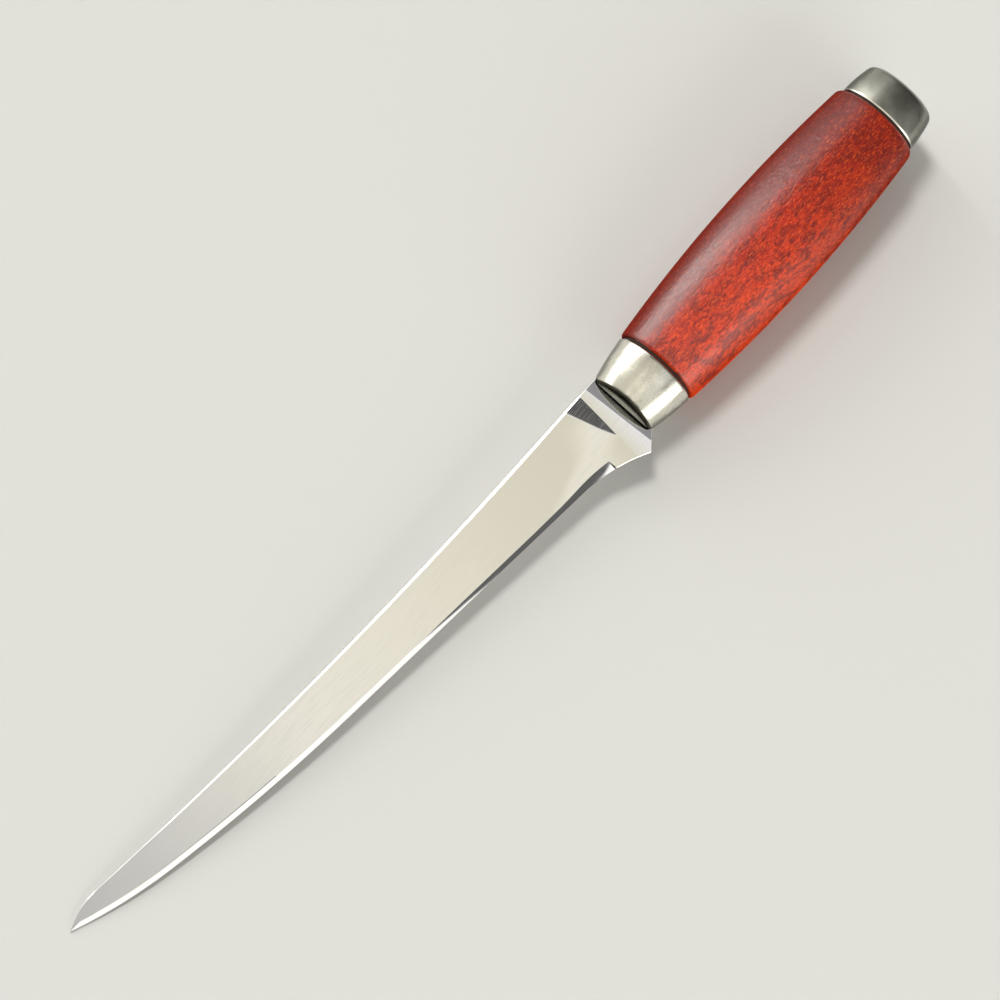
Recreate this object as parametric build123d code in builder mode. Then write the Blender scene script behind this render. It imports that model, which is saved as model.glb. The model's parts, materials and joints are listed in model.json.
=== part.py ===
from build123d import *
import math
import os

# Fillet knife with a stick tang, lying on its side as it rests on a table.
# All lengths are millimetres. The knife's own frame has X along the handle towards the pommel,
# Y towards the spine and Z through the thickness, and starts where the blade's shoulder seats in the bolster.

# Blade outline
blade_reach = 192.1
spine_height = 9.9
spine_straight = 28.0
spine_rise = 7.2
tip_round_length = 12.5
tip_height = 14.9
heel_setback = 4.6
heel_depth = 13.2
shoulder_depth = 9.4
choil_length = 19.4
blade_width_at_choil = 17.3
blade_width_at_belly = 12.75
blade_width_at_turn = 9.0
belly_start_share = 0.547
belly_turn_share = 0.852

# Blade thickness and grinds
stock_thickness = 2.5
spine_thickness = 1.9
heel_edge_thickness = 1.2
tip_thickness = 0.6
edge_land = 0.1
bevel_width = 1.5
bevel_flare = 3.0
bevel_reach = 13.8
plunge_radius = 34.0
plunge_sweep = 60
plunge_reach = 10.8
plunge_slant = 9.5
ricasso_crown = 0.6
crown_bite = 0.03
crown_excess_share = 1.02

# Where the blade's lofted grinds have their sections: on a straight run, a long sweep and the tip's curves
run_shares = (0, 1)
sweep_shares = (0, 0.5, 1)
tip_shares = (0, 0.35, 0.7, 1)

# Tang, hidden in the handle
tang_width = 9.0
tang_end_width = 5.2
tang_end_cover = 10.9
stud_diameter = 4.0
stud_weld = 5.0
stud_end_gap = 0.5

# Bolster
bolster_length = 12.4
bolster_lead = 1.0
bolster_front_width = 18.4
bolster_front_thickness = 14.6
bolster_rear_width = 22.9
bolster_rear_thickness = 17.9
bolster_bulge = 0.27
bolster_front_round = 1.2
bolster_rim_chamfer = 0.55
bolster_wall = 1.8
bolster_front_wall = 4.0
seat_clearance = 0.55

# Liners in the two joints
liner_thickness = 0.5
liner_inset = 0.75

# Wooden handle
wood_length = 86.0
handle_width = 28.4
handle_thickness = 22.4
wood_front_width = 23.6
wood_front_thickness = 18.4
wood_rear_width = 24.6
wood_rear_thickness = 18.8
crest_share = 0.525
front_shoulder_round = 0.7
rear_shoulder_round = 1.8
rear_tenon_length = 3.4
bore_width = 10.4
bore_thickness = 4.4
stud_bore_diameter = 4.8
rest_flat_depth = 0.15

# Pommel
pommel_length = 10.0
pommel_front_width = 22.5
pommel_front_thickness = 16.8
pommel_rear_width = 19.6
pommel_rear_thickness = 14.8
pommel_bulge = 0.35
pommel_round = 1.7
pommel_rim_chamfer = 0.4
pommel_wall = 1.9
pommel_end_wall = 2.6

# Fastening and fits
washer_diameter = 10.0
washer_bore = 4.3
washer_thickness = 0.8
nut_width = 7.0
nut_height = 2.2
nut_chamfer = 0.3
thread_clearance = 0.05
fit_clearance = 0.1
end_clearance = 0.3
overrun = 4.0

# Stations along the handle
wood_front = bolster_length + liner_thickness
wood_rear = wood_front + wood_length
pommel_front = wood_rear + liner_thickness
pommel_rear = pommel_front + pommel_length
crest = wood_front + crest_share * wood_length
tang_length = wood_rear - tang_end_cover
socket_end = bolster_front_wall - bolster_lead
tenon_front = socket_end + end_clearance
washer_front = wood_rear + rear_tenon_length
nut_front = washer_front + washer_thickness
cavity_end = pommel_rear - pommel_end_wall
socket_width = bolster_front_width - 2 * bolster_wall
socket_thickness = bolster_front_thickness - 2 * bolster_wall
cavity_width = pommel_rear_width - 2 * pommel_wall
cavity_thickness = pommel_rear_thickness - 2 * pommel_wall

# Resting pose: the belly of the handle, an arc from its crest forwards, and the tip touch the table.
# The belly has a small worn flat there, and its like on the other side.
belly_sag = (handle_thickness - wood_front_thickness) / 2
belly_radius = (crest - wood_front) ** 2 / (2 * belly_sag)
rest_base = crest + blade_reach
rest_rise = belly_radius - handle_thickness / 2 + tip_thickness / 2
belly_centre_height = belly_radius - rest_flat_depth
pitch = math.asin(belly_centre_height / math.hypot(rest_base, rest_rise)) - math.atan2(rest_rise, rest_base)
axis_height = blade_reach * math.sin(pitch) + tip_thickness / 2 * math.cos(pitch)
axis_x = (blade_reach - pommel_rear) / 2 * math.cos(pitch)
axis_y = (handle_width / 2 - spine_height - spine_rise) / 2
knife = Plane(
    origin=(axis_x, axis_y, axis_height),
    x_dir=(math.cos(pitch), 0, math.sin(pitch)),
    z_dir=(-math.sin(pitch), 0, math.cos(pitch)),
)


def across(x, y=0.0, heading=0.0):
    """Plane across the knife at x, y. Its X axis points to the spine and its Y axis through the thickness."""
    turn = math.radians(heading)
    along = knife.x_dir * math.cos(turn) + knife.y_dir * math.sin(turn)
    side = knife.y_dir * math.cos(turn) - knife.x_dir * math.sin(turn)
    return Plane(origin=knife.from_local_coords((x, y, 0)), x_dir=side, z_dir=along)


def across_curve(curve, share):
    """Plane across the knife where a curve of its outline has run through that share of its length."""
    point = curve @ share
    direction = curve % share
    heading = math.degrees(math.atan2(direction.Y, direction.X))
    if direction.X < 0:
        heading += 180
    return point, across(point.X, point.Y, heading)


def oval(x, width, thickness):
    """Oval section of the handle at x."""
    with BuildSketch(across(x)) as section:
        Ellipse(width / 2, thickness / 2)
    return section.sketch


# Outline of the blade, drawn in the knife's own frame
choil_start = Vector(-heel_setback - choil_length, spine_height - blade_width_at_choil)
spine_end = Vector(tip_round_length - blade_reach, spine_height + spine_rise)
spine_reach = -spine_end.X - spine_straight


def spine_line(x):
    """Height of the spine over the handle's axis at x."""
    return spine_height + spine_rise * (max(0, -x - spine_straight) / spine_reach) ** 2


belly_start_x = -blade_reach * belly_start_share
belly_turn_x = -blade_reach * belly_turn_share
belly_start = Vector(belly_start_x, spine_line(belly_start_x) - blade_width_at_belly)
belly_turn = Vector(belly_turn_x, spine_line(belly_turn_x) - blade_width_at_turn)
tip = Vector(-blade_reach, tip_height)

with BuildLine() as outline:
    spine_run = Line((0, spine_height), (-spine_straight, spine_height))
    spine_sweep = TangentArc(spine_run @ 1, spine_end, tangent=spine_run % 1)
    tip_round = TangentArc(spine_end, tip, tangent=spine_sweep % 1)
    edge_run = Line(choil_start, belly_start)
    belly = TangentArc(belly_start, belly_turn, tangent=edge_run % 1)
    tip_belly = TangentArc(belly_turn, tip, tangent=belly % 1)
    choil = TangentArc(choil_start, (-heel_setback, -heel_depth), tangent=edge_run % 0 * -1)
    heel = Line(choil @ 1, (0, -shoulder_depth))
    shoulder = Line(heel @ 1, spine_run @ 0)

# Flank: one plane through the spine at the plunge, the edge at the plunge and the tip
spine_point = Vector(-plunge_reach, spine_height, spine_thickness / 2)
edge_point = Vector(-plunge_reach, spine_height - blade_width_at_choil, heel_edge_thickness / 2)
tip_point = Vector(-blade_reach, tip_height, tip_thickness / 2)
flank_normal = (edge_point - spine_point).cross(spine_point - tip_point)


def flank_height(x, y):
    """Half the blade's thickness at x, y of the knife's frame."""
    run = flank_normal.X * (x - spine_point.X) + flank_normal.Y * (y - spine_point.Y)
    return spine_point.Z - run / flank_normal.Z


flank = Plane(
    origin=knife.from_local_coords(spine_point),
    x_dir=knife.from_local_coords(spine_point) - knife.from_local_coords(tip_point),
    z_dir=knife.from_local_coords(spine_point + flank_normal) - knife.from_local_coords(spine_point),
)

# Wheel that grinds the flank flat and leaves a hollow plunge, slanted, in front of the ricasso
feed = flank.x_dir.rotate(Axis(flank.origin, flank.z_dir), -plunge_slant)
with BuildPart() as flank_wheel:
    with BuildSketch(Plane(origin=flank.origin, x_dir=feed, z_dir=feed.cross(flank.z_dir))):
        with BuildLine():
            hollow = CenterArc((0, plunge_radius), plunge_radius, -90, plunge_sweep)
            Polyline(
                hollow @ 1,
                ((hollow @ 1).X, plunge_radius),
                (-blade_reach - overrun, plunge_radius),
                (-blade_reach - overrun, 0),
                hollow @ 0,
            )
        make_face()
    extrude(amount=blade_reach / 2, both=True)


def bevel_section(curve, share, width=bevel_width):
    """Section of the stone that grinds the cutting bevel, at a share of a curve of the edge."""
    point, plane = across_curve(curve, share)
    rise = flank_height(point.X, point.Y + width) - edge_land / 2
    with BuildSketch(plane) as section:
        with BuildLine():
            Polyline(
                (-width, edge_land / 2 - rise),
                (2 * width, edge_land / 2 + 2 * rise),
                (2 * width, edge_land / 2 + 3 * rise),
                (-width, edge_land / 2 + 3 * rise),
                close=True,
            )
        make_face()
    return section.sketch


bevel_start_share = 1 - (bevel_reach - heel_setback) / choil_length
with BuildPart() as bevel_stone:
    loft([bevel_section(choil, bevel_start_share, bevel_flare), bevel_section(choil, 0)])
    loft([bevel_section(edge_run, share) for share in run_shares])
    loft([bevel_section(belly, share) for share in sweep_shares])
    loft([bevel_section(tip_belly, share) for share in tip_shares])


def crown_section(curve, share, half_width, rise):
    """Section outside the rounded back of the blade, at a share of a curve of the spine."""
    plane = across_curve(curve, share)[1]
    with BuildSketch(plane) as section:
        with BuildLine():
            ThreePointArc((-rise, -half_width), (-crown_bite, 0), (-rise, half_width))
            Polyline((-rise, half_width), (overrun, half_width), (overrun, -half_width), (-rise, -half_width))
        make_face()
    return section.sketch


def full_crown(curve, share):
    """Section outside a back that is rounded from flank to flank."""
    point = curve @ share
    half_width = flank_height(point.X, point.Y) * crown_excess_share
    return crown_section(curve, share, half_width, half_width)


# The back's rounding starts narrow on the ricasso and grows over the plunge
plunge_depth = (stock_thickness - spine_thickness) / 2
ricasso_length = plunge_reach - math.sqrt(2 * plunge_radius * plunge_depth)
ricasso_share = ricasso_length / spine_straight
plunge_share = plunge_reach / spine_straight
ricasso_half_width = stock_thickness / 2 * crown_excess_share
with BuildPart() as crown_wheel:
    loft(
        [crown_section(spine_run, share, ricasso_half_width, ricasso_crown) for share in (0, ricasso_share)]
        + [full_crown(spine_run, plunge_share)],
        ruled=True,
    )
    loft([full_crown(spine_run, share) for share in (plunge_share, 1)])
    loft([full_crown(spine_sweep, share) for share in sweep_shares])
    loft([full_crown(tip_round, share) for share in tip_shares])

with BuildPart() as blade:
    with BuildSketch(knife):
        with BuildLine():
            add(outline.line)
        make_face()
    extrude(amount=stock_thickness / 2, both=True)
    add(flank_wheel.part, mode=Mode.SUBTRACT)
    mirror(flank_wheel.part, about=knife, mode=Mode.SUBTRACT)
    add(bevel_stone.part, mode=Mode.SUBTRACT)
    mirror(bevel_stone.part, about=knife, mode=Mode.SUBTRACT)
    add(crown_wheel.part, mode=Mode.SUBTRACT)
    # Stick tang, narrowing to the threaded stud that is welded to its end
    with BuildSketch(knife):
        with BuildLine():
            Polyline(
                (0, tang_width / 2),
                (tang_length, tang_end_width / 2),
                (tang_length, -tang_end_width / 2),
                (0, -tang_width / 2),
                close=True,
            )
        make_face()
    extrude(amount=stock_thickness / 2, both=True)
    with BuildSketch(across(tang_length - stud_weld)):
        Circle(stud_diameter / 2)
    extrude(amount=cavity_end - stud_end_gap - tang_length + stud_weld)
blade.part.label = "blade"


def end_rim(part, direction):
    """Outer edge of the face at the pommel's end, for a direction of 1, or at the blade's end, for -1."""
    face = part.faces().sort_by(Axis(knife.origin, knife.x_dir * direction))[-1]
    return face.outer_wire().edges()


def bulged_ovals(front, rear, widths, thicknesses, bulge):
    """Three ovals from front to rear, the middle one swelled by the bulge on every side."""
    middle_width = sum(widths) / 2 + 2 * bulge
    middle_thickness = sum(thicknesses) / 2 + 2 * bulge
    return [
        oval(front, widths[0], thicknesses[0]),
        oval((front + rear) / 2, middle_width, middle_thickness),
        oval(rear, widths[1], thicknesses[1]),
    ]


# Bolster: hollow from the rear for the wood's tenon, with a channel across its front that seats the blade's
# shoulder and a slot for the tang behind it
with BuildPart() as bolster:
    loft(
        bulged_ovals(
            -bolster_lead,
            bolster_length,
            (bolster_front_width, bolster_rear_width),
            (bolster_front_thickness, bolster_rear_thickness),
            bolster_bulge,
        )
    )
    fillet(end_rim(bolster.part, -1), bolster_front_round)
    chamfer(end_rim(bolster.part, 1), bolster_rim_chamfer)
    with BuildSketch(across(socket_end)):
        Ellipse(socket_width / 2, socket_thickness / 2)
    extrude(amount=bolster_length, mode=Mode.SUBTRACT)
    with BuildSketch(across(0)):
        Rectangle(bolster_rear_width, stock_thickness + 2 * seat_clearance)
    extrude(amount=-overrun, mode=Mode.SUBTRACT)
    with BuildSketch(across(0)):
        Rectangle(tang_width + 2 * fit_clearance, stock_thickness + 2 * fit_clearance)
    extrude(amount=bolster_length, mode=Mode.SUBTRACT)
bolster.part.label = "bolster"


def swell(x, front_size, crest_size, rear_size):
    """Size of the wood at x, rising in an arc from its front to its crest and falling to its rear."""
    if x < crest:
        return crest_size - (crest_size - front_size) * ((crest - x) / (crest - wood_front)) ** 2
    return crest_size - (crest_size - rear_size) * ((x - crest) / (wood_rear - crest)) ** 2


def wood_oval(share):
    """Section of the wood at a share of its length."""
    x = wood_front + share * wood_length
    return oval(
        x,
        swell(x, wood_front_width, handle_width, wood_rear_width),
        swell(x, wood_front_thickness, handle_thickness, wood_rear_thickness),
    )


# Table under the handle, which wears its flats
with BuildPart() as table:
    with BuildSketch():
        Rectangle(2 * pommel_rear, handle_width)
    extrude(amount=-overrun)

wood_shares = (0, crest_share / 2, crest_share, (1 + crest_share) / 2, 1)

# Wood of the handle, with a tenon at each end, a slot for the tang and a bore for its stud
with BuildPart() as handle:
    loft([wood_oval(share) for share in wood_shares])
    fillet(end_rim(handle.part, -1), front_shoulder_round)
    fillet(end_rim(handle.part, 1), rear_shoulder_round)
    with BuildSketch(across(tenon_front)):
        Ellipse(socket_width / 2 - fit_clearance, socket_thickness / 2 - fit_clearance)
    extrude(amount=wood_front - tenon_front + overrun)
    with BuildSketch(across(wood_rear - overrun)):
        Ellipse(cavity_width / 2 - fit_clearance, cavity_thickness / 2 - fit_clearance)
    extrude(amount=overrun + rear_tenon_length)
    with BuildSketch(across(tenon_front)):
        SlotOverall(bore_width, bore_thickness)
    extrude(amount=tang_length + end_clearance - tenon_front, mode=Mode.SUBTRACT)
    with BuildSketch(across(tang_length + end_clearance)):
        Circle(stud_bore_diameter / 2)
    extrude(amount=washer_front + overrun - tang_length, mode=Mode.SUBTRACT)
    add(table.part, mode=Mode.SUBTRACT)
    mirror(table.part, about=knife, mode=Mode.SUBTRACT)
handle.part.label = "handle"


# Thin fibre ring at the bottom of the groove between bolster and wood
with BuildPart() as front_liner:
    with BuildSketch(across(bolster_length)):
        Ellipse(bolster_rear_width / 2 - liner_inset, bolster_rear_thickness / 2 - liner_inset)
        Ellipse(socket_width / 2, socket_thickness / 2, mode=Mode.SUBTRACT)
    extrude(amount=liner_thickness)
front_liner.part.label = "front_liner"

# Thin fibre ring at the bottom of the groove between wood and pommel
with BuildPart() as rear_liner:
    with BuildSketch(across(wood_rear)):
        Ellipse(pommel_front_width / 2 - liner_inset, pommel_front_thickness / 2 - liner_inset)
        Ellipse(cavity_width / 2, cavity_thickness / 2, mode=Mode.SUBTRACT)
    extrude(amount=liner_thickness)
rear_liner.part.label = "rear_liner"

# Resin that fills the wood's slot around the tang
with BuildPart() as tang_bedding:
    with BuildSketch(across(tenon_front)):
        SlotOverall(bore_width - 2 * fit_clearance, bore_thickness - 2 * fit_clearance)
    extrude(amount=tang_length - stud_weld - tenon_front)
    add(blade.part, mode=Mode.SUBTRACT)
tang_bedding.part.label = "tang_bedding"

# Washer and nut that draw the handle onto the tang, inside the pommel
with BuildPart() as tang_washer:
    with BuildSketch(across(washer_front)):
        Circle(washer_diameter / 2)
        Circle(washer_bore / 2, mode=Mode.SUBTRACT)
    extrude(amount=washer_thickness)
tang_washer.part.label = "tang_washer"

with BuildPart() as tang_nut:
    with BuildSketch(across(nut_front)):
        RegularPolygon(nut_width / 2, 6, major_radius=False)
        Circle(stud_diameter / 2 + thread_clearance, mode=Mode.SUBTRACT)
    extrude(amount=nut_height)
    chamfer(end_rim(tang_nut.part, 1), nut_chamfer)
tang_nut.part.label = "tang_nut"

# Pommel: a closed cap over the wood's rear tenon
with BuildPart() as pommel:
    loft(
        bulged_ovals(
            pommel_front,
            pommel_rear,
            (pommel_front_width, pommel_rear_width),
            (pommel_front_thickness, pommel_rear_thickness),
            pommel_bulge,
        )
    )
    chamfer(end_rim(pommel.part, -1), pommel_rim_chamfer)
    fillet(end_rim(pommel.part, 1), pommel_round)
    with BuildSketch(across(pommel_front)):
        Ellipse(cavity_width / 2, cavity_thickness / 2)
    extrude(amount=cavity_end - pommel_front, mode=Mode.SUBTRACT)
pommel.part.label = "pommel"

os.makedirs("parts", exist_ok=True)
export_step(blade.part, "parts/blade.step")
export_step(bolster.part, "parts/bolster.step")
export_step(front_liner.part, "parts/front_liner.step")
export_step(handle.part, "parts/handle.step")
export_step(rear_liner.part, "parts/rear_liner.step")
export_step(tang_bedding.part, "parts/tang_bedding.step")
export_step(tang_washer.part, "parts/tang_washer.step")
export_step(tang_nut.part, "parts/tang_nut.step")
export_step(pommel.part, "parts/pommel.step")
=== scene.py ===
import json
import math

import bmesh
import bpy
import numpy as np
from mathutils import Matrix, Vector


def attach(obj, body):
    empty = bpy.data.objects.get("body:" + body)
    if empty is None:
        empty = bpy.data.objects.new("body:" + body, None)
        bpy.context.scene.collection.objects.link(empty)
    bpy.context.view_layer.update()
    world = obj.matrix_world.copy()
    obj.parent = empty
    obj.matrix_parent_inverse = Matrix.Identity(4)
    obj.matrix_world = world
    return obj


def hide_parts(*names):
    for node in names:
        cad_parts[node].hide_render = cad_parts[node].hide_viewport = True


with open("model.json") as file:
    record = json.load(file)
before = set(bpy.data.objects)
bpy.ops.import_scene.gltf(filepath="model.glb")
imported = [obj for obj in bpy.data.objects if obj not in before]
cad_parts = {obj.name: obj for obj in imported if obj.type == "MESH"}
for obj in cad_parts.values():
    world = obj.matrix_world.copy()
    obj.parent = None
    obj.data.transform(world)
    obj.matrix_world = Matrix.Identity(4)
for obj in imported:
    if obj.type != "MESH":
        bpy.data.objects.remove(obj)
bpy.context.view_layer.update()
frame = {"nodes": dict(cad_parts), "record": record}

# Fillet knife lying on its side. Sizes are millimetres in the knife's own frame, as in the CAD model:
# X along the handle towards the pommel, Y towards the spine, Z through the thickness, zero at the floor of the
# channel in the bolster's front.
MM = 0.001

# Blade outline
blade_reach = 191.94
spine_height = 9.9
spine_straight = 28.0
spine_rise = 7.2
tip_round_length = 12.5
tip_height = 14.9
heel_setback = 4.6
heel_depth = 13.2
shoulder_depth = 9.4
choil_length = 19.4
width_at_choil = 17.3
width_at_belly = 12.75
width_at_turn = 9.0
belly_start_share = 0.547
belly_turn_share = 0.852

# Blade thickness and grinds, as half thicknesses
stock_half = 1.25
spine_half = 0.9
edge_half = 0.6
tip_half = 0.3
edge_land_half = 0.05
plunge_reach = 10.8

# Bolster, wood and pommel
bolster_lead = 1.0
bolster_length = 12.4
bolster_front = (9.2, 7.3)
bolster_rear = (11.45, 8.95)
bolster_bulge = 0.27
wood_front_x = 12.9
wood_rear_x = 98.9
wood_front = (11.8, 9.2)
wood_crest = (14.2, 11.2)
wood_rear = (12.3, 9.4)
crest_x = 58.05
pommel_front_x = 99.4
pommel_rear_x = 109.4
pommel_front = (11.25, 8.4)
pommel_rear = (9.8, 7.4)
pommel_bulge = 0.35

# Sockets and tenons
socket = (7.4, 5.5)
tenon = (7.3, 5.4)
cavity = (7.9, 5.5)
rear_tenon = (7.8, 5.4)


def knife_frame():
    """Matrix from the knife's frame in millimetres to the row frame in metres, from the grip mount."""
    grip = next(m for m in frame["record"]["mounts"] if m["name"] == "grip")
    along = Vector(grip["axis"]).normalized()
    spine = Vector((0, 1, 0))
    out = along.cross(spine)
    origin = Vector(grip["pos_m"]) - along * crest_x * MM
    turn = Matrix((along, spine, out)).transposed().to_4x4()
    return Matrix.Translation(origin) @ turn @ Matrix.Diagonal((MM, MM, MM, 1))


knife = knife_frame()


def add_mesh(name, points, faces, material, smooth_angle=30.0):
    """Closed mesh object from points in the knife's frame, with sharp edges above an angle in degrees."""
    mesh = bpy.data.meshes.new(name)
    mesh.from_pydata([knife @ Vector(p) for p in points], [], faces)
    mesh.validate()
    skin = bmesh.new()
    skin.from_mesh(mesh)
    bmesh.ops.recalc_face_normals(skin, faces=skin.faces)
    if skin.calc_volume(signed=True) < 0:
        bmesh.ops.reverse_faces(skin, faces=skin.faces)
    skin.to_mesh(mesh)
    skin.free()
    mesh.polygons.foreach_set("use_smooth", [True] * len(mesh.polygons))
    mesh.set_sharp_from_angle(angle=math.radians(smooth_angle))
    mesh.materials.append(material)
    piece = bpy.data.objects.new(name, mesh)
    bpy.context.scene.collection.objects.link(piece)
    return piece


# Node helpers


def new_material(name):
    """Empty node material with its output."""
    material = bpy.data.materials.new(name)
    material.use_nodes = True
    material.node_tree.nodes.clear()
    return material


class Nodes:
    """Short calls for making a node tree."""

    def __init__(self, tree):
        self.tree = tree

    def add(self, kind, **settings):
        node = self.tree.nodes.new(kind)
        for name, value in settings.items():
            setattr(node, name, value)
        return node

    def link(self, source, target):
        self.tree.links.new(source, target)

    def feed(self, target, value):
        """Sets a socket from a number, a colour or another socket."""
        if isinstance(value, bpy.types.NodeSocket):
            self.link(value, target)
        else:
            target.default_value = value

    def math(self, operation, a, b=0.0):
        node = self.add("ShaderNodeMath", operation=operation)
        self.feed(node.inputs[0], a)
        self.feed(node.inputs[1], b)
        return node.outputs[0]

    def smooth(self, value, low, high, out_low=0.0, out_high=1.0):
        """Smooth step of a value from low to high."""
        node = self.add("ShaderNodeMapRange", interpolation_type="SMOOTHSTEP")
        for key, number in zip((0, 1, 2, 3, 4), (value, low, high, out_low, out_high)):
            self.feed(node.inputs[key], number)
        return node.outputs[0]

    def mix(self, share, a, b, blend="MIX"):
        """Colour mix."""
        node = self.add("ShaderNodeMix", data_type="RGBA", blend_type=blend)
        self.feed(node.inputs["Factor"], share)
        self.feed(node.inputs[6], a)
        self.feed(node.inputs[7], b)
        return node.outputs[2]

    def noise(self, scale, detail=2.0, roughness=0.5, distortion=0.0):
        """Noise over the object's coordinates in millimetres, scaled along X, Y and Z."""
        place = self.add("ShaderNodeTexCoord")
        mapping = self.add("ShaderNodeMapping")
        self.link(place.outputs["Object"], mapping.inputs["Vector"])
        mapping.inputs["Scale"].default_value = [s / MM for s in scale]
        node = self.add("ShaderNodeTexNoise")
        self.link(mapping.outputs["Vector"], node.inputs["Vector"])
        node.inputs["Scale"].default_value = 1.0
        node.inputs["Detail"].default_value = detail
        node.inputs["Roughness"].default_value = roughness
        node.inputs["Distortion"].default_value = distortion
        return node.outputs["Fac"]

    def place(self):
        """X, Y and Z in the knife's frame, in millimetres."""
        coordinates = self.add("ShaderNodeTexCoord")
        out = []
        for axis in (0, 1, 2):
            direction = knife.col[axis].to_3d().normalized()
            dot = self.add("ShaderNodeVectorMath", operation="DOT_PRODUCT")
            self.link(coordinates.outputs["Object"], dot.inputs[0])
            dot.inputs[1].default_value = direction / MM
            start = knife.translation.dot(direction) / MM
            out.append(self.math("SUBTRACT", dot.outputs["Value"], start))
        return out

    def bump(self, height, distance, normal=None):
        """Bump of a height from 0 to 1 that stands for a distance in millimetres."""
        node = self.add("ShaderNodeBump")
        node.inputs["Strength"].default_value = 1.0
        node.inputs["Distance"].default_value = distance * MM
        self.link(height, node.inputs["Height"])
        if normal:
            self.link(normal, node.inputs["Normal"])
        return node.outputs["Normal"]

    def principled(self, **sockets):
        """Principled shader wired to the output. Underscores in names stand for blanks."""
        shader = self.add("ShaderNodeBsdfPrincipled")
        for name, value in sockets.items():
            self.feed(shader.inputs[name.replace("_", " ")], value)
        output = self.add("ShaderNodeOutputMaterial")
        self.link(shader.outputs[0], output.inputs["Surface"])


def make_steel():
    """Mirror-polished stainless steel with faint lengthwise polishing lines."""
    material = new_material("polished_steel")
    n = Nodes(material.node_tree)
    lines = n.noise((0.02, 3.0, 3.0), detail=3.0)
    clouds = n.noise((0.03, 0.08, 0.08), detail=2.0)
    roughness = n.smooth(lines, 0.35, 0.75, 0.05, 0.09)
    normal = n.bump(lines, 0.0006)
    normal = n.bump(clouds, 0.02, normal=normal)
    colour = n.mix(clouds, (0.90, 0.89, 0.87, 1), (0.93, 0.92, 0.90, 1))
    n.principled(Base_Color=colour, Metallic=1.0, Roughness=roughness, Normal=normal)
    return material


def make_nickel_silver(name, light, dark, pits, rough, rim, painted_side_shade):
    """Worn satin nickel silver with a fine cast grain.

    The rim is a band along the knife in a colour of its own: on the bolster a painted dark reflection round its
    front, on the pommel a painted highlight on its front rim. Painted shade darkens the metal along back and belly,
    near the knife's middle plane: the heights over that plane between which it ends, and the share of the colour that
    it leaves.
    """
    side_shade_wander = 2.0
    material = new_material(name)
    n = Nodes(material.node_tree)
    grain = n.noise((2.2, 2.2, 2.2), detail=4.0, roughness=0.6)
    brush = n.noise((0.25, 4.0, 4.0), detail=3.0)
    mottle = n.noise((0.35, 0.35, 0.35), detail=3.0)
    colour = n.mix(mottle, dark, light)
    colour = n.mix(n.smooth(grain, 0.55, 0.75), colour, pits)
    # Rim band: painted dark reflection round the bolster's front, painted highlight on the pommel's front rim
    start, end, soft, painted_rim_colour = rim
    along, _, out = n.place()
    painted_rim_band = n.math("MULTIPLY", n.smooth(along, start - soft, start), n.smooth(along, end, end + soft, 1.0, 0.0))
    colour = n.mix(painted_rim_band, colour, painted_rim_colour)
    # Painted shade: the metal is darkened along back and belly, near the knife's middle plane
    low, high, left = painted_side_shade
    height = n.math("ABSOLUTE", out)
    wander = n.math("MULTIPLY", n.math("SUBTRACT", mottle, 0.5), side_shade_wander)
    shade = n.smooth(n.math("ADD", height, wander), low, high, left)
    colour = n.mix(1.0, colour, shade, "MULTIPLY")
    roughness = n.smooth(mottle, 0.3, 0.7, rough - 0.05, rough + 0.05)
    normal = n.bump(grain, 0.012)
    normal = n.bump(brush, 0.004, normal=normal)
    n.principled(Base_Color=colour, Metallic=1.0, Roughness=roughness, Normal=normal)
    return material


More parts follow.
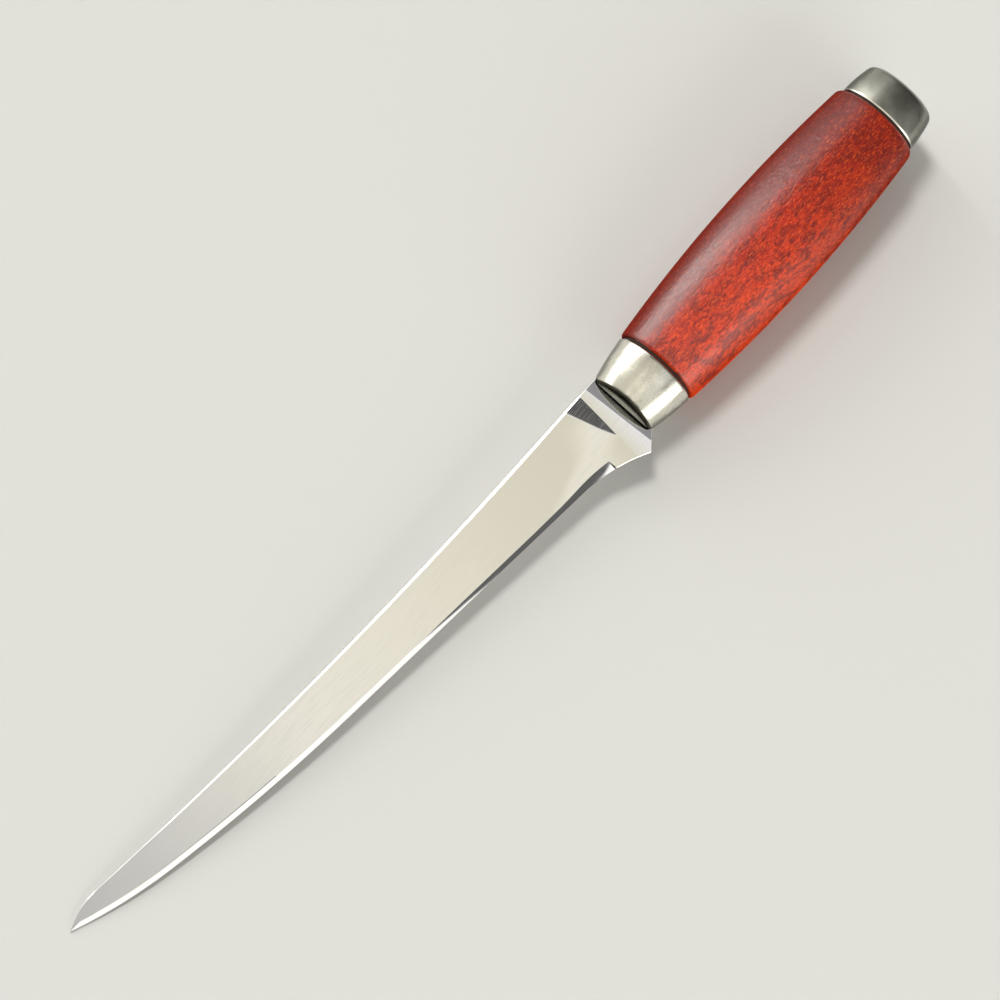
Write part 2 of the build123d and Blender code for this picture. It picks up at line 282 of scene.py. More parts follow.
def make_wood():
    """Birch stained red ochre, with fine curly flecks and a worn finish over it, darker towards the rear.

    The back's darker colour is painted shade and the belly's brighter colour is painted light.
    """
    stain_dark, stain = (0.42, 0.014, 0.002, 1), (0.72, 0.034, 0.001, 1)
    belly_painted_light, rear_darker, back_painted_shade = (0.97, 0.06, 0.002, 1), (0.27, 0.010, 0.001, 1), (0.11, 0.006, 0.003, 1)
    figure_brown, fleck_brown, pore_brown = (0.17, 0.006, 0.002, 1), (0.16, 0.005, 0.002, 1), (0.07, 0.004, 0.002, 1)
    fleck_gold = (0.90, 0.11, 0.01, 1)
    side_wander, rear_wander = 10.0, 30.0

    material = new_material("stained_wood")
    n = Nodes(material.node_tree)
    mottle = n.noise((0.06, 0.13, 0.13), detail=3.0, roughness=0.55, distortion=0.6)
    figure = n.noise((0.24, 0.5, 0.5), detail=3.0, roughness=0.6, distortion=0.8)
    flecks = n.noise((0.9, 2.7, 2.7), detail=3.0, roughness=0.65, distortion=0.9)
    pores = n.noise((1.6, 4.5, 4.5), detail=2.0, roughness=0.5, distortion=0.6)
    streaks = n.noise((0.3, 1.3, 1.3), detail=2.0, roughness=0.6, distortion=0.9)

    # Shares of back (painted shade), belly (painted light) and the darker rear, with borders that wander
    along, across, out = n.place()
    wander = n.math("SUBTRACT", mottle, 0.5)
    wandered = n.math("ADD", across, n.math("MULTIPLY", wander, side_wander))
    back = n.smooth(wandered, 2.0, 9.5)
    belly_share = n.smooth(wandered, -9.0, 1.0, 1.0, 0.0)
    rear = n.smooth(n.math("ADD", along, n.math("MULTIPLY", wander, rear_wander)), 48.0, 96.0, 0.0, 0.9)

    colour = n.mix(n.smooth(mottle, 0.36, 0.62), stain_dark, stain)
    # Painted light: brighter along the belly
    colour = n.mix(n.math("MULTIPLY", belly_share, 0.9), colour, belly_painted_light)
    # Darker towards the rear
    colour = n.mix(rear, colour, rear_darker)
    # Painted shade: darker along the back
    colour = n.mix(n.math("MULTIPLY", back, 0.9), colour, back_painted_shade)
    colour = n.mix(n.smooth(figure, 0.46, 0.60, 0.0, 0.7), colour, figure_brown)
    colour = n.mix(n.smooth(flecks, 0.38, 0.5, 0.65, 0.0), colour, fleck_brown)
    light = n.math("MULTIPLY", n.smooth(flecks, 0.52, 0.66, 0.0, 0.7), n.smooth(back, 0.0, 1.0, 1.0, 0.4))
    colour = n.mix(light, colour, fleck_gold)
    colour = n.mix(n.smooth(pores, 0.58, 0.68, 0.0, 0.6), colour, pore_brown)
    roughness = n.smooth(flecks, 0.3, 0.7, 0.38, 0.5)
    normal = n.bump(flecks, 0.06)
    normal = n.bump(pores, 0.02, normal=normal)

    # The finish is rubbed off along back and belly, where the hand closes
    finish = n.smooth(n.math("ABSOLUTE", out), 2.5, 8.0, 0.1, 1.0)
    finish_normal = n.bump(flecks, 0.03, normal=n.bump(streaks, 0.12))
    n.principled(
        Base_Color=colour, Roughness=roughness, Normal=normal, Specular_IOR_Level=0.0,
        Coat_Weight=finish, Coat_Roughness=0.27, Coat_IOR=1.75, Coat_Normal=finish_normal,
    )
    return material


def make_plain(name, light, dark, scale, roughness, metallic=0.0):
    """Small-part finish with a mottled colour and a fine grain."""
    material = new_material(name)
    n = Nodes(material.node_tree)
    grain = n.noise((scale, scale, scale), detail=3.0)
    colour = n.mix(grain, dark, light)
    normal = n.bump(grain, 0.01)
    n.principled(Base_Color=colour, Metallic=metallic, Roughness=roughness, Normal=normal)
    return material


# Blade


def tangent_arc(start, heading, end):
    """Arc that leaves start along heading and ends at end: its height over X, and its heading at the end."""
    start, heading, end = (np.array(v, float) for v in (start, heading, end))
    heading = heading / np.linalg.norm(heading)
    normal = np.array((-heading[1], heading[0]))
    chord = end - start
    radius = chord @ chord / (2 * chord @ normal)
    centre = start + radius * normal
    side = math.copysign(1, start[1] - centre[1])

    def height(x):
        return centre[1] + side * np.sqrt(radius**2 - (x - centre[0]) ** 2)

    chord = chord / np.linalg.norm(chord)
    return height, 2 * (heading @ chord) * chord - heading


crown_bite = 0.03
tip = (-blade_reach, tip_height)
spine_end = (tip_round_length - blade_reach, spine_height + spine_rise)
spine_sweep, spine_heading = tangent_arc((-spine_straight, spine_height), (-1, 0), spine_end)
tip_round = tangent_arc(spine_end, spine_heading, tip)[0]


def spine_line(x):
    """Height of the spine over X as the edge's widths are measured from it."""
    return spine_height + spine_rise * ((-x - spine_straight) / (-spine_end[0] - spine_straight)) ** 2


choil_start = (-heel_setback - choil_length, spine_height - width_at_choil)
belly_start_x = -blade_reach * belly_start_share
belly_turn_x = -blade_reach * belly_turn_share
belly_start = (belly_start_x, spine_line(belly_start_x) - width_at_belly)
belly_turn = (belly_turn_x, spine_line(belly_turn_x) - width_at_turn)
run_heading = np.subtract(belly_start, choil_start)
belly, belly_heading = tangent_arc(belly_start, run_heading, belly_turn)
tip_belly = tangent_arc(belly_turn, belly_heading, tip)[0]
choil = tangent_arc(choil_start, -run_heading, (-heel_setback, -heel_depth))[0]


def spine_y(x):
    """Height of the blade's back at X."""
    if x > -spine_straight:
        return spine_height - crown_bite
    if x > spine_end[0]:
        return float(spine_sweep(x)) - crown_bite
    return float(tip_round(x)) - crown_bite


def edge_y(x):
    """Height of the blade's edge at X."""
    if x > -heel_setback:
        return -shoulder_depth + (heel_depth - shoulder_depth) / heel_setback * x
    if x > choil_start[0]:
        return float(choil(x))
    if x > belly_start_x:
        return choil_start[1] + (x - choil_start[0]) * run_heading[1] / run_heading[0]
    if x > belly_turn_x:
        return float(belly(x))
    return float(tip_belly(x))


# Grinds: the flank's plane, the ricasso, and the plunge between them with its crease
flank_taper = (spine_half - edge_half) / width_at_choil
flank_slope = (
    spine_half - tip_half - flank_taper * (spine_height - tip_height)
) / (blade_reach - plunge_reach)
ricasso_taper = 0.018
ricasso_bow = 0.0025
crease_top = (-6.3, 8.93)
crease_lean = 0.072
facet_slope = 0.056
facet_width = 5.55
facet_foot_y = -4.4
tail_length = 13.0
choil_tail_length = 30.0
choil_tail_top = 1.0
choil_tail_fade = 8.0
wedge_slope = 0.035
wedge_middle = 3.3
wedge_lean = 0.08


def crease_x(y):
    """Where the crease between ricasso and plunge lies at Y."""
    return crease_top[0] - crease_lean * (crease_top[1] - y)


def ricasso_half(x, y):
    """Half thickness of the ricasso, which is bowed a little and falls off towards the bolster."""
    height = stock_half - ricasso_taper * (spine_height - y)
    bow = ricasso_bow * max(0.0, x - crease_x(y)) ** 2 / 2
    return height - bow - wedge_slope * max(0.0, x + wedge_middle + wedge_lean * y)


def flank_half(x, y):
    """Half thickness of the ground flank's plane."""
    return spine_half + flank_slope * (x + plunge_reach) - flank_taper * (spine_height - y)


def body_half(x, y):
    """Half thickness of ricasso, plunge and flank."""
    crease = crease_x(y)
    if x >= crease:
        return ricasso_half(x, y)
    run = crease - x
    depth = ricasso_half(crease, y) - flank_half(crease, y)
    share = (y - facet_foot_y) / (crease_top[1] - facet_foot_y)
    width = facet_width * max(share, 0.0)
    facet_depth = min(facet_slope * width, depth)
    facet = facet_slope * max(0.0, facet_depth / facet_slope - run)
    low = min(1.0, max(0.0, (choil_tail_top - y) / choil_tail_fade))
    low = low * low * (3 - 2 * low)
    share = min(1.0, run / (tail_length + (choil_tail_length - tail_length) * low))
    hollow = (1 - share) ** 2
    sway = 1 - share * share * (3 - 2 * share)
    tail = (depth - facet_depth) * (hollow + (sway - hollow) * low)
    return flank_half(x, y) + facet + tail


# Cutting bevel and rounded back
bevel_start_x = -13.5
bevel_notch = 0.25
bevel_widths = (
    (0.0, 2.55), (1.5, 2.4), (3.5, 2.2), (5.5, 2.05), (8.5, 1.8), (12.5, 1.55),
    (16.5, 1.35), (26.5, 1.22), (90.0, 1.2), (130.0, 1.3), (178.0, 1.2),
)
bevel_limit = 0.45
choil_edge_round = 0.13
choil_edge_depth = 0.8
crown_widths = (
    (0.0, 0.56), (6.0, 0.62), (12.0, 0.78), (22.0, 0.9), (40.0, 0.92),
    (110.0, 0.62), (150.0, 0.42), (180.0, 0.22), (192.1, 0.08),
)
crown_limit = 0.3
crown_crease = math.radians(30)


def ramp(table, x):
    """Value from a table of (distance, size) pairs."""
    return float(np.interp(x, *zip(*table)))


def bevel_width(x):
    """Width of the cutting bevel at X. Forward of its start the edge is only softened."""
    run = bevel_start_x - x
    if run <= 0:
        return choil_edge_round
    share = min(1.0, run / bevel_notch)
    width = ramp(bevel_widths, run)
    return choil_edge_round + (width - choil_edge_round) * share


def edge_drop_half(x, y_inner):
    """Half thickness left at the edge itself."""
    body = body_half(x, y_inner)
    run = bevel_start_x - x
    share = min(1.0, max(0.0, run / bevel_notch))
    soft = body - choil_edge_round * choil_edge_depth
    return soft + (edge_land_half - soft) * share


crown_rows = 8
flank_rows = 36
bevel_rows = 6
bevel_hollow = 0.07
tip_bevel_slope = 0.21


def meeting(x_at, outline):
    """X and height where a station meets a line of the outline, found in a few rounds."""
    x = x_at(0.0)
    for _ in range(4):
        y = outline(x)
        x = x_at(y)
    return x, y


def blade_column(x_at):
    """Points from the middle of the back to the edge, for one station. x_at gives X at a height."""
    top_x, top = meeting(x_at, spine_y)
    bottom_x, bottom = meeting(x_at, edge_y)
    room = max(top - bottom, 0.0)
    crown = min(ramp(crown_widths, -top_x), crown_limit * room)
    bevel = min(bevel_width(bottom_x), bevel_limit * room)
    inner_y = bottom + bevel
    column = []
    shoulder = body_half(x_at(top - crown), top - crown)
    for row in range(crown_rows):
        # Direction in which the rounded back faces here, measured from the flank's own
        facing = 0.5 * math.pi - (0.5 * math.pi - crown_crease) * row / crown_rows
        y = top - crown * (1 - math.sin(facing)) / (1 - math.sin(crown_crease))
        column.append((x_at(y), y, shoulder * math.cos(facing) / math.cos(crown_crease)))
    for row in range(flank_rows + 1):
        y = top - crown + (inner_y - top + crown) * row / flank_rows
        column.append((x_at(y), y, body_half(x_at(y), y)))
    inner = column[-1][2]
    edge = min(edge_drop_half(bottom_x, inner_y), inner)
    if top_x < spine_end[0]:
        edge = max(edge, inner - tip_bevel_slope * bevel)
    for row in range(1, bevel_rows + 1):
        share = row / bevel_rows
        y = inner_y - bevel * share
        drop = share + bevel_hollow * share * (1 - share)
        column.append((x_at(y), y, inner + (edge - inner) * drop))
    return column


# Stations: how many on the ricasso, and their steps at the heel, along the blade, in the tip's round and at the point
ricasso_stations = 42
lean_fade_length = 9.0
heel_end_x = -26.0
heel_step = 0.15
longest_step = 1.2
step_growth = 0.03
tip_start_x = -178.0
tip_step = 0.35
point_start_x = -190.5
point_step = 0.1
point_gap = 0.15


def blade_stations():
    """Stations along the blade, each a function of height that gives X."""
    stations = []
    crease_middle = crease_x(0.0)

    def leaning(x, lean):
        return lambda y: x + lean * y

    for x in np.linspace(0, crease_middle, ricasso_stations):
        lean = crease_lean * x / crease_middle
        stations.append(leaning(x, lean))
    x = crease_middle
    while x > -blade_reach + point_gap:
        if x > heel_end_x:
            step = heel_step
        elif x >= tip_start_x:
            step = min(longest_step, heel_step + (heel_end_x - x) * step_growth)
        else:
            step = tip_step if x > point_start_x else point_step
        x -= step
        lean = crease_lean * max(0.0, 1 - (crease_middle - x) / lean_fade_length)
        stations.append(leaning(x, lean))
    return stations


def make_blade(material):
    """Blade as a closed skin of columns."""
    columns = []
    for station in blade_stations():
        upper = blade_column(station)
        lower = [(x, y, -z) for x, y, z in reversed(upper)][:-1]
        columns.append(upper + lower)
    size = len(columns[0])
    points = [p for column in columns for p in column]
    faces = []
    for c in range(len(columns) - 1):
        for r in range(size):
            a, b = c * size + r, c * size + (r + 1) % size
            faces.append((a, b, b + size, a + size))
    tip_index = len(points)
    points.append((-blade_reach, tip_height, 0.0))
    last = (len(columns) - 1) * size
    for r in range(size):
        faces.append((last + r, last + (r + 1) % size, tip_index))
    faces.append(tuple(reversed(range(size))))
    return add_mesh("blade_visual", points, faces, material, 12.0)


# Ring solids: bolster, wood and pommel

ring_points = 192


def oval_ring(x, half_width, half_thickness):
    """Ring of points on an oval across the knife."""
    angles = np.linspace(0, 2 * math.pi, ring_points, endpoint=False)
    return [(x, half_width * math.cos(a), half_thickness * math.sin(a)) for a in angles]


def slot_ring(x, half_width, half_thickness):
    """Ring of points on a slot with round ends across the knife, at the angles of the ovals."""
    ring = []
    flat = half_width - half_thickness
    for a in np.linspace(0, 2 * math.pi, ring_points, endpoint=False):
        c, s = math.cos(a), math.sin(a)
        reach = half_thickness / max(abs(s), 1e-9)
        if abs(c) * reach > flat:
            b = flat * abs(c)
            reach = b + math.sqrt(b * b - flat * flat + half_thickness * half_thickness)
        ring.append((x, reach * c, reach * s))
    return ring


def box_ring(x, half_width, half_thickness):
    """Ring of points on a rectangle across the knife, at the angles of the ovals."""
    ring = []
    for a in np.linspace(0, 2 * math.pi, ring_points, endpoint=False):
        c, s = math.cos(a), math.sin(a)
        reach = min(half_width / max(abs(c), 1e-9), half_thickness / max(abs(s), 1e-9))
        ring.append((x, reach * c, reach * s))
    return ring


def ring_solid(name, rings, material, closed, smooth_angle=30.0):
    """Skin over rings in order. Closed joins the last ring to the first, else both ends get a centre point."""
    points = [p for ring in rings for p in ring]
    faces = []
    count = len(rings)
    for k in range(count if closed else count - 1):
        for r in range(ring_points):
            here, there, beside = k * ring_points, (k + 1) % count * ring_points, (r + 1) % ring_points
            faces.append((here + r, here + beside, there + beside, there + r))
    if not closed:
        for k, order in ((0, -1), (count - 1, 1)):
            centre = len(points)
            points.append((rings[k][0][0], 0.0, 0.0))
            for r in range(ring_points):
                pair = (k * ring_points + r, k * ring_points + (r + 1) % ring_points)
                faces.append((*pair[::order], centre))
    return add_mesh(name, points, faces, material, smooth_angle)


def shrink(size, inset):
    """Half sizes less an inset."""
    return size[0] - inset, size[1] - inset


def bulged(front, rear, bulge, share):
    """Half sizes of a cast oval cone with a slight swell, at a share of its length."""
    swell = bulge * (1 - (2 * share - 1) ** 2)
    return tuple(a + (b - a) * share + swell for a, b in zip(front, rear))


def round_steps(radius, count, front):
    """Steps (distance from the end face, inset) round an edge's fillet, from its end face outwards."""
    steps = []
    for k in range(count + 1):
        angle = 0.5 * math.pi * k / count
        steps.append((radius * (1 - math.cos(angle)), radius * (1 - math.sin(angle))))
    return steps if front else steps[::-1]


bolster_front_round = 1.2
bolster_nose = (0.6, 2.2)
bolster_front_steps = 10
bolster_body_rings = 26
bolster_rim_chamfer = 0.55
rim_lead = 0.12
rim_break = 0.03
rim_corner = 0.05
rim_corner_step = 0.08
socket_end = 3.0
slot_half = (4.6, 1.35)
channel_half = 1.8


def cut(piece, corners):
    """Cuts a box with the given lowest and highest corners out of a piece."""
    low, high = corners
    points = [(x, y, z) for x in (low[0], high[0]) for y in (low[1], high[1]) for z in (low[2], high[2])]
    sides = [(0, 1, 3, 2), (4, 6, 7, 5), (0, 4, 5, 1), (2, 3, 7, 6), (0, 2, 6, 4), (1, 5, 7, 3)]
    tool = add_mesh("tool", points, sides, piece.data.materials[0])
    modifier = piece.modifiers.new("cut", "BOOLEAN")
    modifier.operation = "DIFFERENCE"
    modifier.solver = "EXACT"
    modifier.object = tool
    bpy.context.view_layer.update()
    done = bpy.data.meshes.new_from_object(piece.evaluated_get(bpy.context.evaluated_depsgraph_get()))
    piece.modifiers.clear()
    piece.data = done
    done.name = piece.name
    done.set_sharp_from_angle(angle=math.radians(30))
    bpy.data.objects.remove(tool)


def make_bolster(material):
    """Bolster: fluted from front to rear, rounded at the front, with a channel there for the blade's shoulder."""
    def size_at(x):
        share = (x + bolster_lead) / (bolster_length + bolster_lead)
        return bulged(bolster_front, bolster_rear, bolster_bulge, share)

    rings = [box_ring(-bolster_lead, *slot_half)]
    for step, inset in round_steps(bolster_front_round, bolster_front_steps, True):
        x = step - bolster_lead
        width, thickness = size_at(x)
        rings.append(oval_ring(x, width - bolster_nose[0] * inset, thickness - bolster_nose[1] * inset))
    rim = bolster_length - bolster_rim_chamfer
    for x in np.linspace(bolster_front_round - bolster_lead, rim - rim_lead, bolster_body_rings)[1:]:
        rings.append(oval_ring(x, *size_at(x)))
    rear = size_at(bolster_length)
    rings.append(oval_ring(rim, *shrink(size_at(rim), rim_break)))
    rings.append(oval_ring(bolster_length - rim_corner_step, *shrink(rear, bolster_rim_chamfer - rim_corner)))
    rings.append(oval_ring(bolster_length, *shrink(rear, bolster_rim_chamfer + rim_corner)))
    rings.append(oval_ring(bolster_length, *socket))
    rings.append(oval_ring(socket_end, *socket))
    rings.append(box_ring(socket_end, *slot_half))
    piece = ring_solid("bolster_visual", rings, material, True)
    cut(piece, ((-3 * bolster_lead, -bolster_rear[0], -channel_half), (0, bolster_rear[0], channel_half)))
    return piece


def wood_size(x):
    """Half sizes of the wood at X, an arc from its front to its crest and another to its rear."""
    if x < crest_x:
        share, end = (crest_x - x) / (crest_x - wood_front_x), wood_front
    else:
        share, end = (x - crest_x) / (wood_rear_x - crest_x), wood_rear
    return tuple(crest - (crest - size) * share * share for crest, size in zip(wood_crest, end))


tenon_front_x = 3.3
washer_front_x = 102.3
tang_end_x = 88.3
bore_half = (5.2, 2.2)
stud_bore_radius = 2.4
front_shoulder_round = 0.7
front_shoulder_steps = 6
rear_shoulder_round = 1.8
rear_shoulder_steps = 9
wood_body_rings = 150


def worn_flat(ring):
    """Ring with its lowest points lifted to the table, and its like on the other side."""
    row = knife[2]
    x = ring[0][0]
    limit = (row[3] + row[0] * x) / row[2]
    return [(x, y, min(limit, max(-limit, z))) for x, y, z in ring]


def make_wood_handle(material):
    """Wooden grip with its tenons and its bore for the tang."""
    rings = [slot_ring(tenon_front_x, *bore_half), oval_ring(tenon_front_x, *tenon), oval_ring(wood_front_x, *tenon)]
    for step, inset in round_steps(front_shoulder_round, front_shoulder_steps, True):
        x = wood_front_x + step
        rings.append(oval_ring(x, *shrink(wood_size(x), inset)))
    body_start, body_end = wood_front_x + front_shoulder_round, wood_rear_x - rear_shoulder_round
    body = np.linspace(body_start, body_end, wood_body_rings)
    for x in body[1:-1]:
        rings.append(worn_flat(oval_ring(x, *wood_size(x))))
    for step, inset in round_steps(rear_shoulder_round, rear_shoulder_steps, False):
        x = wood_rear_x - step
        rings.append(oval_ring(x, *shrink(wood_size(x), inset)))
    rings.append(oval_ring(wood_rear_x, *rear_tenon))
    rings.append(oval_ring(washer_front_x, *rear_tenon))
    rings.append(oval_ring(washer_front_x, stud_bore_radius, stud_bore_radius))
    rings.append(oval_ring(tang_end_x, stud_bore_radius, stud_bore_radius))
    rings.append(slot_ring(tang_end_x, *bore_half))
    return ring_solid("handle_visual", rings, material, True)


pommel_round = 1.7
pommel_round_steps = 9
pommel_end_shares = (0.8, 0.55, 0.3, 0.1)
pommel_body_rings = 20
pommel_rim_round = 0.08
pommel_rim_steps = 3
pommel_rim_land = 0.45
pommel_rim_drop = 0.1
pommel_land_edge = 0.05
cavity_end_x = 106.8


def make_pommel(material):
    """Closed end cap with a rounded end."""
    length = pommel_rear_x - pommel_front_x

    def size_at(x):
        return bulged(pommel_front, pommel_rear, pommel_bulge, (x - pommel_front_x) / length)

    rings = [oval_ring(cavity_end_x, *cavity), oval_ring(pommel_front_x, *cavity)]
    # Front rim: a small round, then a narrow land that flares before the body narrows
    for step, inset in round_steps(pommel_rim_round, pommel_rim_steps, True):
        rings.append(oval_ring(pommel_front_x + step, *shrink(pommel_front, inset + pommel_rim_drop)))
    land_end = pommel_front_x + pommel_rim_land
    body_start = land_end + pommel_land_edge
    body = np.linspace(body_start, pommel_rear_x - pommel_round, pommel_body_rings)
    for x in (land_end, body_start, *body[1:-1]):
        rings.append(oval_ring(x, *size_at(x)))
    for step, inset in round_steps(pommel_round, pommel_round_steps, False):
        x = pommel_rear_x - step
        rings.append(oval_ring(x, *shrink(size_at(x), inset)))
    width, thickness = shrink(pommel_rear, pommel_round)
    for share in pommel_end_shares:
        rings.append(oval_ring(pommel_rear_x, width * share, thickness * share))
    return ring_solid("pommel_visual", rings, material, False)


# Tang with its welded stud, behind the bolster's front

tang_half_widths = (4.5, 2.6)
tang_length = 88.0
stud_radius = 2.0
stud_start_x = 83.0
stud_end_x = 106.3
stud_chamfer = 0.3
tang_stations = 12
tang_start_x = 0.05


def make_tang(material):
    """Flat stick tang, narrowing to the round stud that is welded on its end."""
    front, rear = tang_half_widths
    rings = [box_ring(tang_start_x, front, stock_half)]
    for x in np.linspace(tang_start_x, stud_start_x, tang_stations)[1:]:
        rings.append(box_ring(x, front + (rear - front) * x / tang_length, stock_half))
    rings.append(oval_ring(tang_length, stud_radius, stud_radius))
    rings.append(oval_ring(stud_end_x - stud_chamfer, stud_radius, stud_radius))
    rings.append(oval_ring(stud_end_x, stud_radius - stud_chamfer, stud_radius - stud_chamfer))
    return ring_solid("tang_visual", rings, material, False)


steel = make_steel()
# Bolster: painted dark reflection round its front, and painted shade along back and belly
bright_nickel = make_nickel_silver(
    "nickel_silver", (0.76, 0.74, 0.66, 1), (0.68, 0.66, 0.58, 1), (0.52, 0.50, 0.43, 1), 0.25,
    (-0.82, -0.3, 0.12, (0.07, 0.062, 0.045, 1)), (2.0, 3.9, 0.4)
)
# Pommel: the same nickel silver, rougher and painted darker as shade, with a painted highlight on its front rim and
# painted shade along back and belly
painted_shade_nickel = make_nickel_silver(
    "painted_shade_nickel_silver", (0.43, 0.43, 0.38, 1), (0.34, 0.34, 0.30, 1), (0.26, 0.26, 0.23, 1), 0.35,
    (pommel_front_x, pommel_front_x + 0.35, 0.12, (0.95, 0.92, 0.82, 1)), (2.5, 5.2, 0.3)
)
wood = make_wood()
# Liners' black: partly the fibre's own colour, partly painted shade of the gaps at both joints
liner_black_joint_shade = make_plain("dark_fibre", (0.03, 0.025, 0.02, 1), (0.012, 0.01, 0.008, 1), 1.5, 0.7)
resin = make_plain("bedding_resin", (0.32, 0.20, 0.08, 1), (0.24, 0.14, 0.05, 1), 0.4, 0.35)
zinc = make_plain("zinc_steel", (0.62, 0.63, 0.64, 1), (0.48, 0.49, 0.50, 1), 2.0, 0.35, 1.0)

made = (
    (make_blade(steel), "blade", "blade_steel"),
    (make_tang(steel), "blade", "blade_steel"),
    (make_bolster(bright_nickel), "bolster", "nickel_silver"),
    (make_wood_handle(wood), "handle", "stained_wood"),
    (make_pommel(painted_shade_nickel), "pommel", "nickel_silver"),
)
for piece, node, slot in made:
    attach(piece, "root")
    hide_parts(node)

# The CAD solids that stay
kept = (
    ("front_liner", liner_black_joint_shade),
    ("rear_liner", liner_black_joint_shade),
    ("tang_bedding", resin),
    ("tang_washer", zinc),
    ("tang_nut", zinc),
)
for node, material in kept:
    mesh = frame["nodes"][node].data
    mesh.materials.clear()
    mesh.materials.append(material)


# Stage


def make_floor():
    """Plain pale floor."""
    mesh = bpy.data.meshes.new("floor")
    reach = 6.0
    corners = [(-reach, -reach, 0), (reach, -reach, 0), (reach, reach, 0), (-reach, reach, 0)]
    mesh.from_pydata(corners, [], [(0, 1, 2, 3)])
    material = new_material("pale_floor")
    n = Nodes(material.node_tree)
    n.principled(Base_Color=(0.72, 0.72, 0.70, 1), Roughness=0.8, Specular_IOR_Level=0.2)
    mesh.materials.append(material)
    floor = bpy.data.objects.new("floor", mesh)
    bpy.context.scene.collection.objects.link(floor)


# Brightness of the soft ceiling over the angle towards the pommel, in degrees from straight up
ceiling = (
    (-75.0, (0.04, 0.04, 0.04)),
    (-22.0, (0.10, 0.10, 0.09)),
    (-14.0, (0.20, 0.20, 0.18)),
    (-9.0, (1.00, 0.98, 0.88)),
    (0.0, (1.05, 1.00, 0.88)),
    (6.4, (0.52, 0.52, 0.52)),
    (7.8, (0.66, 0.66, 0.63)),
    (8.8, (0.90, 0.87, 0.78)),
    (10.2, (0.86, 0.82, 0.69)),
    (11.5, (0.69, 0.65, 0.53)),
    (12.6, (0.80, 0.77, 0.65)),
    (13.6, (0.90, 0.89, 0.90)),
    (15.2, (0.86, 0.85, 0.88)),
    (16.4, (0.32, 0.32, 0.33)),
    (24.0, (0.18, 0.18, 0.17)),
    (75.0, (0.05, 0.05, 0.05)),
)
side_ceiling = (
    (-75.0, (0.04, 0.04, 0.04)),
    (-22.0, (0.12, 0.12, 0.11)),
    (-12.0, (0.78, 0.76, 0.68)),
    (4.0, (0.88, 0.85, 0.75)),
    (8.0, (0.12, 0.12, 0.11)),
    (20.0, (0.12, 0.12, 0.11)),
    (75.0, (0.06, 0.06, 0.06)),
)


# Panels: the low end, high end and softness of their angles across and along the knife, in degrees from straight up,
# and their brightness. Angles across are positive on the spine's side, angles along towards the pommel.
middle_panel = ((-13, 13, 6), (-14, 5, 2.5), (1.5, 1.44, 1.25))
blade_gap = ((-4.5, 0.5, 0.6), (0.8, 6.15, 0.3), (0.09, 0.09, 0.09))
side_panels = (
    # Spine's side: the wide white panel, then a narrow strong one and another nearer overhead for the wood's sheen
    ((59, 84, 4), (-35, 15, 3), (2.7, 2.67, 2.6)),
    ((46, 82, 4), (7.0, 11.0, 1.2), (13.5, 13.4, 12.9)),
    ((32, 50, 5), (11.5, 16.5, 1.5), (7.0, 6.9, 6.7)),
    # Spine's side, beyond the wood: a dim strip near the horizon and the grey that the pommel mirrors
    ((70, 86, 3), (13, 19.5, 2), (1.3, 1.3, 1.26)),
    ((27, 76, 6), (18, 60, 5), (0.55, 0.55, 0.52)),
    # Edge's side: the wide white panel, another nearer overhead, and the dark gap that the bevel's heel end mirrors
    ((-83, -51, 2.5), (-40, 10, 3), (2.9, 2.87, 2.78)),
    ((-40, -14, 1.5), (-3, 10, 1), (1.15, 1.15, 1.13)),
    ((-53, -37.5, 0.7), (1.5, 12, 1.2), (0.12, 0.12, 0.12)),
)


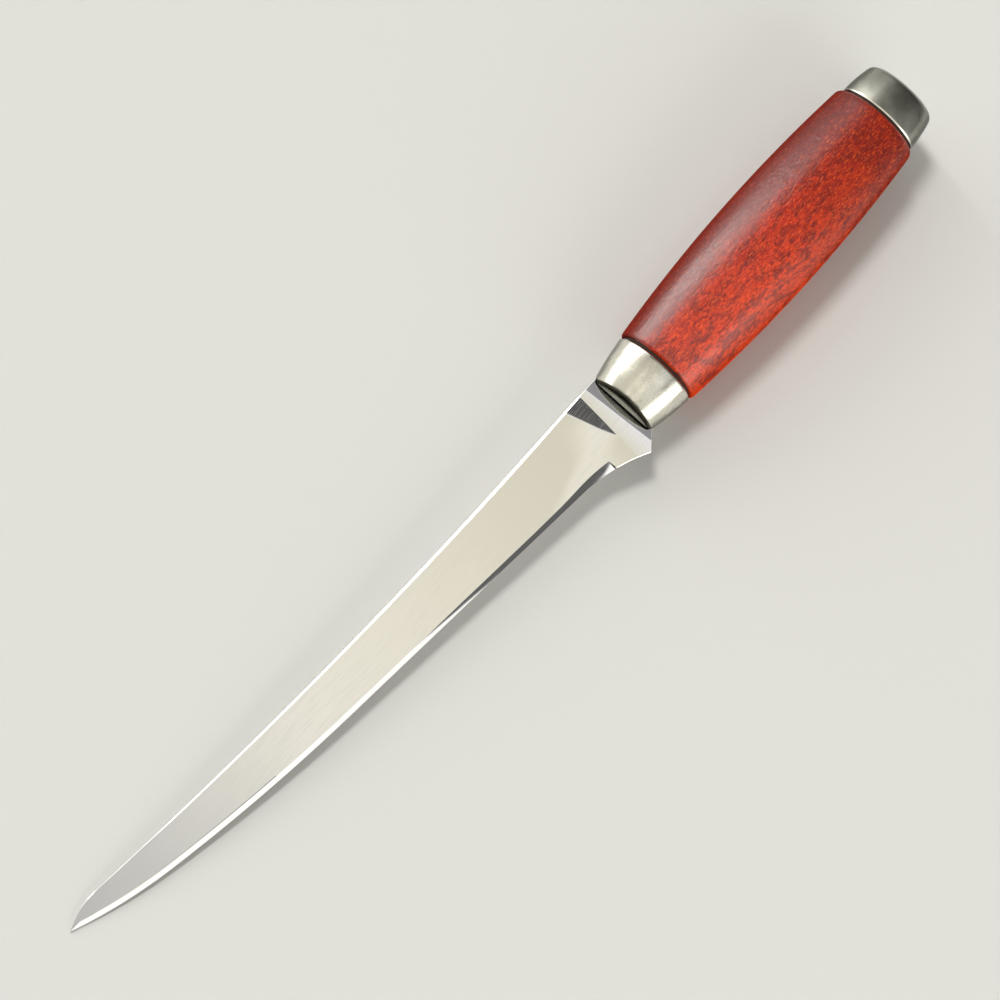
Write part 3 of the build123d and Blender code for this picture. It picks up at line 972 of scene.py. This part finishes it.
def make_world():
    """Studio as a sky: a warm ceiling with a dark gap over the blade, and panels on both sides."""
    world = bpy.data.worlds.new("studio")
    bpy.context.scene.world = world
    world.use_nodes = True
    world.node_tree.nodes.clear()
    n = Nodes(world.node_tree)
    place = n.add("ShaderNodeTexCoord")
    split = n.add("ShaderNodeSeparateXYZ")
    n.link(place.outputs["Generated"], split.inputs[0])
    x, y, z = split.outputs
    degrees = 180 / math.pi
    along = n.math("MULTIPLY", n.math("ARCSINE", x), degrees)
    across = n.math("MULTIPLY", n.math("ARCTAN2", y, z), degrees)

    def window(value, low, high, soft):
        """1 between low and high, with soft ends."""
        rise = n.smooth(value, low - soft, low + soft)
        fall = n.smooth(value, high - soft, high + soft, 1.0, 0.0)
        return n.math("MULTIPLY", rise, fall)

    def colours(stops):
        """Colour over the angle along the knife."""
        low, high = stops[0][0], stops[-1][0]
        ramp_node = n.add("ShaderNodeValToRGB")
        elements = ramp_node.color_ramp.elements
        while len(elements) < len(stops):
            elements.new(0.5)
        for element, (angle, colour) in zip(elements, stops):
            element.position = (angle - low) / (high - low)
            element.color = (*colour, 1)
        n.link(n.math("DIVIDE", n.math("SUBTRACT", along, low), high - low), ramp_node.inputs[0])
        return ramp_node.outputs[0]

    def with_panel(colour, panel):
        """The sky's colour with a panel over it."""
        across_range, along_range, brightness = panel
        share = n.math("MULTIPLY", window(across, *across_range), window(along, *along_range))
        return n.mix(share, colour, (*brightness, 1))

    colour = with_panel(colours(side_ceiling), middle_panel)
    over_flank = n.math("MULTIPLY", window(across, -4.7, 5.2, 0.8), window(along, -80, 12.2, 0.5))
    over_blade = n.math("MAXIMUM", over_flank, window(across, -4.3, -0.5, 0.6))
    colour = n.mix(over_blade, colour, colours(ceiling))
    for panel in (blade_gap, *side_panels):
        colour = with_panel(colour, panel)

    background = n.add("ShaderNodeBackground")
    n.link(colour, background.inputs["Color"])
    output = n.add("ShaderNodeOutputWorld")
    n.link(background.outputs[0], output.inputs["Surface"])


def make_key():
    """Soft key light high on the spine's side, which gives the shadow. The sky alone shows in the metal."""
    light = bpy.data.lights.new("key", "SUN")
    light.energy = 1.45
    light.angle = math.radians(14)
    light.color = (1.0, 0.985, 0.96)
    key = bpy.data.objects.new("key", light)
    bpy.context.scene.collection.objects.link(key)
    key.visible_glossy = False
    key.rotation_mode = "QUATERNION"
    toward_light = Vector((0.18, 0.56, 1.0))
    key.rotation_quaternion = toward_light.to_track_quat("Z", "Y")


def make_camera():
    """Camera at the photograph's view: steep from the tip's side, turned so that the knife runs up to the right."""
    lean = math.radians(14.0)
    distance = 2000.0
    target = Vector((-39.4, 6.94, 0))
    along_image = Vector((0.6665, 0.7455))
    forward = Vector((math.sin(lean), 0, -math.cos(lean)))
    toward_pommel = Vector((math.cos(lean), 0, math.sin(lean)))
    toward_edge = Vector((0, -1, 0))
    right = toward_edge * along_image.y + toward_pommel * along_image.x
    up = toward_pommel * along_image.y - toward_edge * along_image.x
    turn = Matrix((right, up, -forward)).transposed()
    rigid = knife.to_3x3() @ Matrix.Diagonal((1 / MM, 1 / MM, 1 / MM))
    data = bpy.data.cameras.new("camera")
    data.sensor_width = 36.0
    data.lens = 290.6
    data.clip_start, data.clip_end = 0.1, 50.0
    camera = bpy.data.objects.new("camera", data)
    bpy.context.scene.collection.objects.link(camera)
    camera.matrix_world = Matrix.Translation(knife @ (target - forward * distance)) @ (rigid @ turn).to_4x4()
    bpy.context.scene.camera = camera


make_floor()
make_world()
make_key()
make_camera()
bpy.context.scene.view_settings.view_transform = "Standard"
